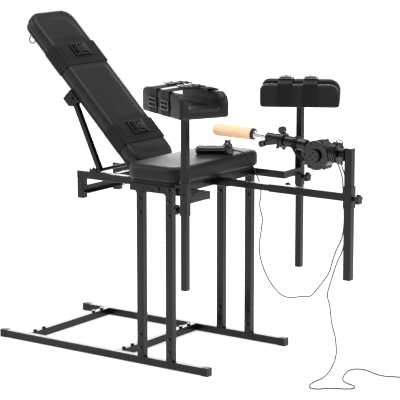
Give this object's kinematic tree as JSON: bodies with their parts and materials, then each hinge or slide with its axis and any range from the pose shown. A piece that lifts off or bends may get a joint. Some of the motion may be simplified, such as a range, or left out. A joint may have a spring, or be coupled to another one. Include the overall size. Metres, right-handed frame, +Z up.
{
  "type": "reclining padded bench with leg rests and linear drive",
  "caption": "Padded bench on a square-tube frame with a reclining strapped backrest, two post-mounted padded leg rests and a motor-driven sliding rod on a front beam.",
  "frame": {"origin": "centre of the bench's footprint box on the floor, cords left out", "axes": "+X towards the drive post at the front, +Y towards the far leg rest, +Z up"},
  "size_m": [1.7576, 1.1046, 1.3039],
  "materials": {
    "frame_steel": "satin",
    "bolt_steel": "satin",
    "black_plastic": "matte",
    "black_vinyl": "satin",
    "black_webbing": "matte",
    "board": "matte",
    "chrome_steel": "polished",
    "attachment": "satin",
    "gloss_plastic": "gloss",
    "cable": "satin",
    "black_casting": "satin",
    "white_plastic": "satin"
  },
  "bodies": {
    "frame": {"base_side_near": "frame_steel", "base_side_far": "frame_steel", "base_cross_members": "frame_steel", "base_end_caps": "black_plastic", "posts": "frame_steel", "seat_rail_near": "frame_steel", "seat_rail_far": "frame_steel", "seat_cross_tubes": "frame_steel", "beam_receiver": "frame_steel", "beam_inner": "frame_steel", "rear_beam_near": "frame_steel", "rear_beam_far": "frame_steel", "rear_cross_members": "frame_steel", "prop_stop_plates": "frame_steel", "hinge_pin": "bolt_steel", "seat_board": "board", "seat_cushion": "black_vinyl", "frame_bolts": "bolt_steel", "l_arm_near": "frame_steel", "l_arm_far": "frame_steel", "handset_body": "gloss_plastic", "handset_cord": "cable", "mains_cord": "cable", "mains_coil": "cable", "mains_plug": "black_plastic"},
    "backrest": {"backrest_board": "board", "backrest_cushion": "black_vinyl", "backrest_straps": "black_webbing", "backrest_buckles": "black_plastic", "backrest_frame": "frame_steel"},
    "prop": {"prop_strut": "frame_steel"},
    "leg_post_near": {"leg_post_near": "frame_steel"},
    "leg_post_far": {"leg_post_far": "frame_steel"},
    "leg_rest_near": {"cradle_base_near": "frame_steel", "cradle_pad_near": "black_vinyl", "cradle_straps_near": "black_webbing", "cradle_buckles_near": "black_plastic"},
    "leg_rest_far": {"cradle_base_far": "frame_steel", "cradle_pad_far": "black_vinyl", "cradle_straps_far": "black_webbing", "cradle_buckles_far": "black_plastic"},
    "front_beam": {"beam_outer": "frame_steel"},
    "drive_post": {"machine_post": "frame_steel", "post_clamp": "frame_steel"},
    "drive": {"gearbox_housing": "black_casting", "motor_housing": "black_casting", "guide_tube": "black_casting", "front_bracket": "frame_steel"},
    "crank": {"crank_wheel": "black_casting"},
    "rod": {"drive_rod": "chrome_steel", "rod_attachment": "attachment"},
    "dial": {"handset_dial": "gloss_plastic"},
    "button": {"handset_button": "white_plastic"},
    "knob_leg_near_upper": {"knob_leg_near_upper": "black_plastic"},
    "knob_leg_near_lower": {"knob_leg_near_lower": "black_plastic"},
    "knob_leg_far_upper": {"knob_leg_far_upper": "black_plastic"},
    "knob_leg_far_lower": {"knob_leg_far_lower": "black_plastic"},
    "knob_beam": {"knob_beam": "black_plastic"},
    "knob_machine": {"knob_machine": "black_plastic"}
  },
  "joints": [
    {"name": "backrest_recline", "type": "hinge", "parent": "frame", "child": "backrest", "pos_m": [-0.16355, 0.00442, 0.6805], "axis": [0, -1, 0], "range_deg": [0, 15]},
    {"name": "prop_swing", "type": "hinge", "parent": "backrest", "child": "prop", "pos_m": [-0.49455, 0.00442, 0.982], "axis": [0, -1, 0], "range_deg": [0, 20]},
    {"name": "leg_post_near_height", "type": "slide", "parent": "frame", "child": "leg_post_near", "axis": [0, 0, 1], "range_m": [-0.15, 0.15]},
    {"name": "leg_post_far_height", "type": "slide", "parent": "frame", "child": "leg_post_far", "axis": [0, 0, 1], "range_m": [-0.12, 0.18]},
    {"name": "leg_rest_near_swivel", "type": "hinge", "parent": "leg_post_near", "child": "leg_rest_near", "pos_m": [0.24785, -0.38738, 1], "axis": [0, 0, 1], "range_deg": [-40, 40]},
    {"name": "leg_rest_far_swivel", "type": "hinge", "parent": "leg_post_far", "child": "leg_rest_far", "pos_m": [0.24785, 0.39622, 0.96], "axis": [0, 0, 1], "range_deg": [-40, 40]},
    {"name": "front_beam_reach", "type": "slide", "parent": "frame", "child": "front_beam", "axis": [1, 0, 0], "range_m": [-0.06, 0.04]},
    {"name": "drive_height", "type": "slide", "parent": "front_beam", "child": "drive_post", "axis": [0, 0, 1], "range_m": [-0.03, 0.15], "deforming": ["mains_cord", "handset_cord"]},
    {"name": "drive_tilt", "type": "hinge", "parent": "drive_post", "child": "drive", "pos_m": [0.67945, 0.00442, 0.853], "axis": [0, 1, 0], "range_deg": [-2, 12]},
    {"name": "crank_turn", "type": "hinge", "parent": "drive", "child": "crank", "pos_m": [0.57945, 0.00442, 0.842], "axis": [0, 1, 0], "continuous": true},
    {"name": "rod_stroke", "type": "slide", "parent": "drive", "child": "rod", "axis": [-0.9962, 0, 0.0872], "range_m": [-0.025, 0.025]},
    {"name": "dial_turn", "type": "hinge", "parent": "frame", "child": "dial", "pos_m": [0.09888, 0.10338, 0.82], "axis": [0, 0, 1], "range_deg": [-140, 140]},
    {"name": "button_press", "type": "slide", "parent": "frame", "child": "button", "axis": [0, 0, -1], "range_m": [0, 0.002], "stiffness_N_per_m": 300, "springref_m": -0.0005},
    {"name": "knob_leg_near_upper_turn", "type": "hinge", "parent": "frame", "child": "knob_leg_near_upper", "pos_m": [0.24785, -0.38738, 0.725], "axis": [1, 0, 0], "range_deg": [-90, 90]},
    {"name": "knob_leg_near_lower_turn", "type": "hinge", "parent": "frame", "child": "knob_leg_near_lower", "pos_m": [0.24785, -0.38738, 0.654], "axis": [1, 0, 0], "range_deg": [-90, 90]},
    {"name": "knob_leg_far_upper_turn", "type": "hinge", "parent": "frame", "child": "knob_leg_far_upper", "pos_m": [0.24785, 0.39622, 0.737], "axis": [1, 0, 0], "range_deg": [-90, 90]},
    {"name": "knob_leg_far_lower_turn", "type": "hinge", "parent": "frame", "child": "knob_leg_far_lower", "pos_m": [0.24785, 0.39622, 0.67], "axis": [1, 0, 0], "range_deg": [-90, 90]},
    {"name": "knob_beam_turn", "type": "hinge", "parent": "front_beam", "child": "knob_beam", "pos_m": [0.41745, 0.00442, 0.695], "axis": [0, 1, 0], "range_deg": [-90, 90]},
    {"name": "knob_machine_turn", "type": "hinge", "parent": "front_beam", "child": "knob_machine", "pos_m": [0.71005, 0.00442, 0.69], "axis": [1, 0, 0], "range_deg": [-90, 90]}
  ],
  "couplings": [
    {"joint": "prop_swing", "follows": "backrest_recline", "ratio": 1.17}
  ]
}
